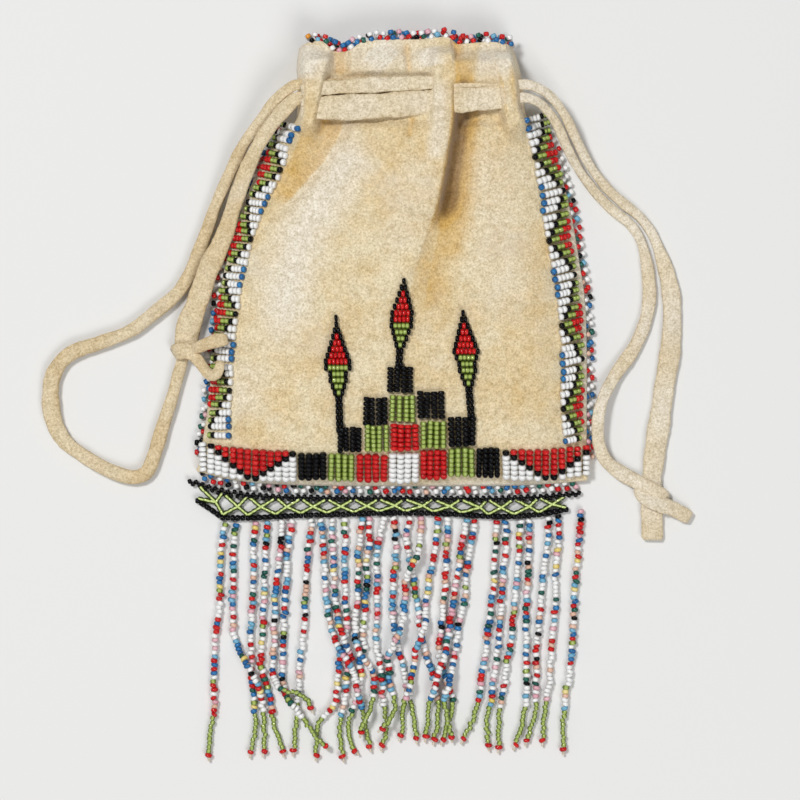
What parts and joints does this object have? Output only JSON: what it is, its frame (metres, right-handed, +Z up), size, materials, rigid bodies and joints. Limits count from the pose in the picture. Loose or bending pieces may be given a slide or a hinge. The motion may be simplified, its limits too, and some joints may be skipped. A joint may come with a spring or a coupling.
{
  "type": "beaded drawstring pouch",
  "caption": "Drawstring pouch of soft hide with a gathered neck, two knotted thongs, sewn glass beadwork, a netted bead band and a strung bead fringe.",
  "frame": {"origin": "on the flat underside of the back panel, under the middle of the pouch's body", "axes": "the pouch lies on its back: +X to the right across it, +Y from the fringe towards the mouth, +Z up out of the back panel"},
  "size_m": [0.1821, 0.2049, 0.0147],
  "materials": {
    "hide": "suede, tanned, cream with golden folds",
    "sewn_beads": "opaque glass seed beads, glossy",
    "edge_beads": "mixed opaque and clear glass seed beads, glossy",
    "net_beads": "black and clear olive glass seed beads, glossy",
    "fringe_beads": "mixed glass seed beads, glossy"
  },
  "bodies": {
    "pouch": {"front_panel": "hide", "back_panel": "hide", "left_border_beads": "sewn_beads", "right_border_beads": "sewn_beads", "lane_left_beads": "sewn_beads", "lane_middle_beads": "sewn_beads", "lane_right_beads": "sewn_beads", "tier_two_beads": "sewn_beads", "tier_three_beads": "sewn_beads", "tier_four_beads": "sewn_beads", "left_feather_beads": "sewn_beads", "middle_feather_beads": "sewn_beads", "right_feather_beads": "sewn_beads", "left_edge_beads": "edge_beads", "right_edge_beads": "edge_beads", "bottom_edge_beads": "edge_beads", "front_rim_beads": "edge_beads", "back_rim_beads": "edge_beads", "upper_front_run": "hide", "lower_front_run": "hide", "upper_back_run": "hide", "lower_back_run": "hide"},
    "left_thong": {"left_outer_strand": "hide", "left_inner_strand": "hide", "left_knot": "hide"},
    "right_thong": {"right_outer_strand": "hide", "right_inner_strand": "hide", "right_knot": "hide"},
    "net": {"bead_net": "net_beads"},
    "fringe_01": {"fringe_strand_01": "fringe_beads"},
    "fringe_02_to_04": {"fringe_strand_02": "fringe_beads", "fringe_strand_03": "fringe_beads", "fringe_strand_04": "fringe_beads"},
    "fringe_05_to_12": {"fringe_strand_05": "fringe_beads", "fringe_strand_06": "fringe_beads", "fringe_strand_07": "fringe_beads", "fringe_strand_08": "fringe_beads", "fringe_strand_09": "fringe_beads", "fringe_strand_10": "fringe_beads", "fringe_strand_11": "fringe_beads", "fringe_strand_12": "fringe_beads"},
    "fringe_13_to_20": {"fringe_strand_13": "fringe_beads", "fringe_strand_14": "fringe_beads", "fringe_strand_15": "fringe_beads", "fringe_strand_16": "fringe_beads", "fringe_strand_17": "fringe_beads", "fringe_strand_18": "fringe_beads", "fringe_strand_19": "fringe_beads", "fringe_strand_20": "fringe_beads"},
    "fringe_21": {"fringe_strand_21": "fringe_beads"},
    "fringe_22": {"fringe_strand_22": "fringe_beads"},
    "fringe_23": {"fringe_strand_23": "fringe_beads"},
    "fringe_24": {"fringe_strand_24": "fringe_beads"},
    "fringe_25": {"fringe_strand_25": "fringe_beads"},
    "fringe_26": {"fringe_strand_26": "fringe_beads"},
    "fringe_27": {"fringe_strand_27": "fringe_beads"}
  },
  "joints": [
    {"name": "left_thong_draw", "type": "slide", "parent": "pouch", "child": "left_thong", "axis": [-1, 0, 0], "range_m": [0, 0.02]},
    {"name": "right_thong_draw", "type": "slide", "parent": "pouch", "child": "right_thong", "axis": [1, 0, 0], "range_m": [0, 0.02]},
    {"name": "net_swing", "type": "hinge", "parent": "pouch", "child": "net", "pos_m": [0, -0.0644, 0.002], "axis": [-1, 0, 0], "range_deg": [0, 75]},
    {"name": "fringe_01_swing", "type": "hinge", "parent": "net", "child": "fringe_01", "pos_m": [-0.0465, -0.0725, 0.002], "axis": [-1, 0, 0], "range_deg": [0, 70]},
    {"name": "fringe_02_to_04_swing", "type": "hinge", "parent": "net", "child": "fringe_02_to_04", "pos_m": [-0.039, -0.0719, 0.002], "axis": [-1, 0, 0], "range_deg": [0, 70]},
    {"name": "fringe_05_to_12_swing", "type": "hinge", "parent": "net", "child": "fringe_05_to_12", "pos_m": [-0.0185, -0.0708, 0.002], "axis": [-1, 0, 0], "range_deg": [0, 70]},
    {"name": "fringe_13_to_20_swing", "type": "hinge", "parent": "net", "child": "fringe_13_to_20", "pos_m": [0.0103, -0.0706, 0.002], "axis": [-1, 0, 0], "range_deg": [0, 70]},
    {"name": "fringe_21_swing", "type": "hinge", "parent": "net", "child": "fringe_21", "pos_m": [0.0288, -0.0717, 0.002], "axis": [-1, 0, 0], "range_deg": [0, 70]},
    {"name": "fringe_22_swing", "type": "hinge", "parent": "net", "child": "fringe_22", "pos_m": [0.0316, -0.0717, 0.002], "axis": [-1, 0, 0], "range_deg": [0, 70]},
    {"name": "fringe_23_swing", "type": "hinge", "parent": "net", "child": "fringe_23", "pos_m": [0.0358, -0.0716, 0.002], "axis": [-1, 0, 0], "range_deg": [0, 70]},
    {"name": "fringe_24_swing", "type": "hinge", "parent": "net", "child": "fringe_24", "pos_m": [0.0384, -0.0714, 0.002], "axis": [-1, 0, 0], "range_deg": [0, 70]},
    {"name": "fringe_25_swing", "type": "hinge", "parent": "net", "child": "fringe_25", "pos_m": [0.0437, -0.0707, 0.002], "axis": [-1, 0, 0], "range_deg": [0, 70]},
    {"name": "fringe_26_swing", "type": "hinge", "parent": "net", "child": "fringe_26", "pos_m": [0.0465, -0.0701, 0.002], "axis": [-1, 0, 0], "range_deg": [0, 70]},
    {"name": "fringe_27_swing", "type": "hinge", "parent": "net", "child": "fringe_27", "pos_m": [0.0526, -0.0687, 0.002], "axis": [-1, 0, 0], "range_deg": [0, 70]}
  ]
}
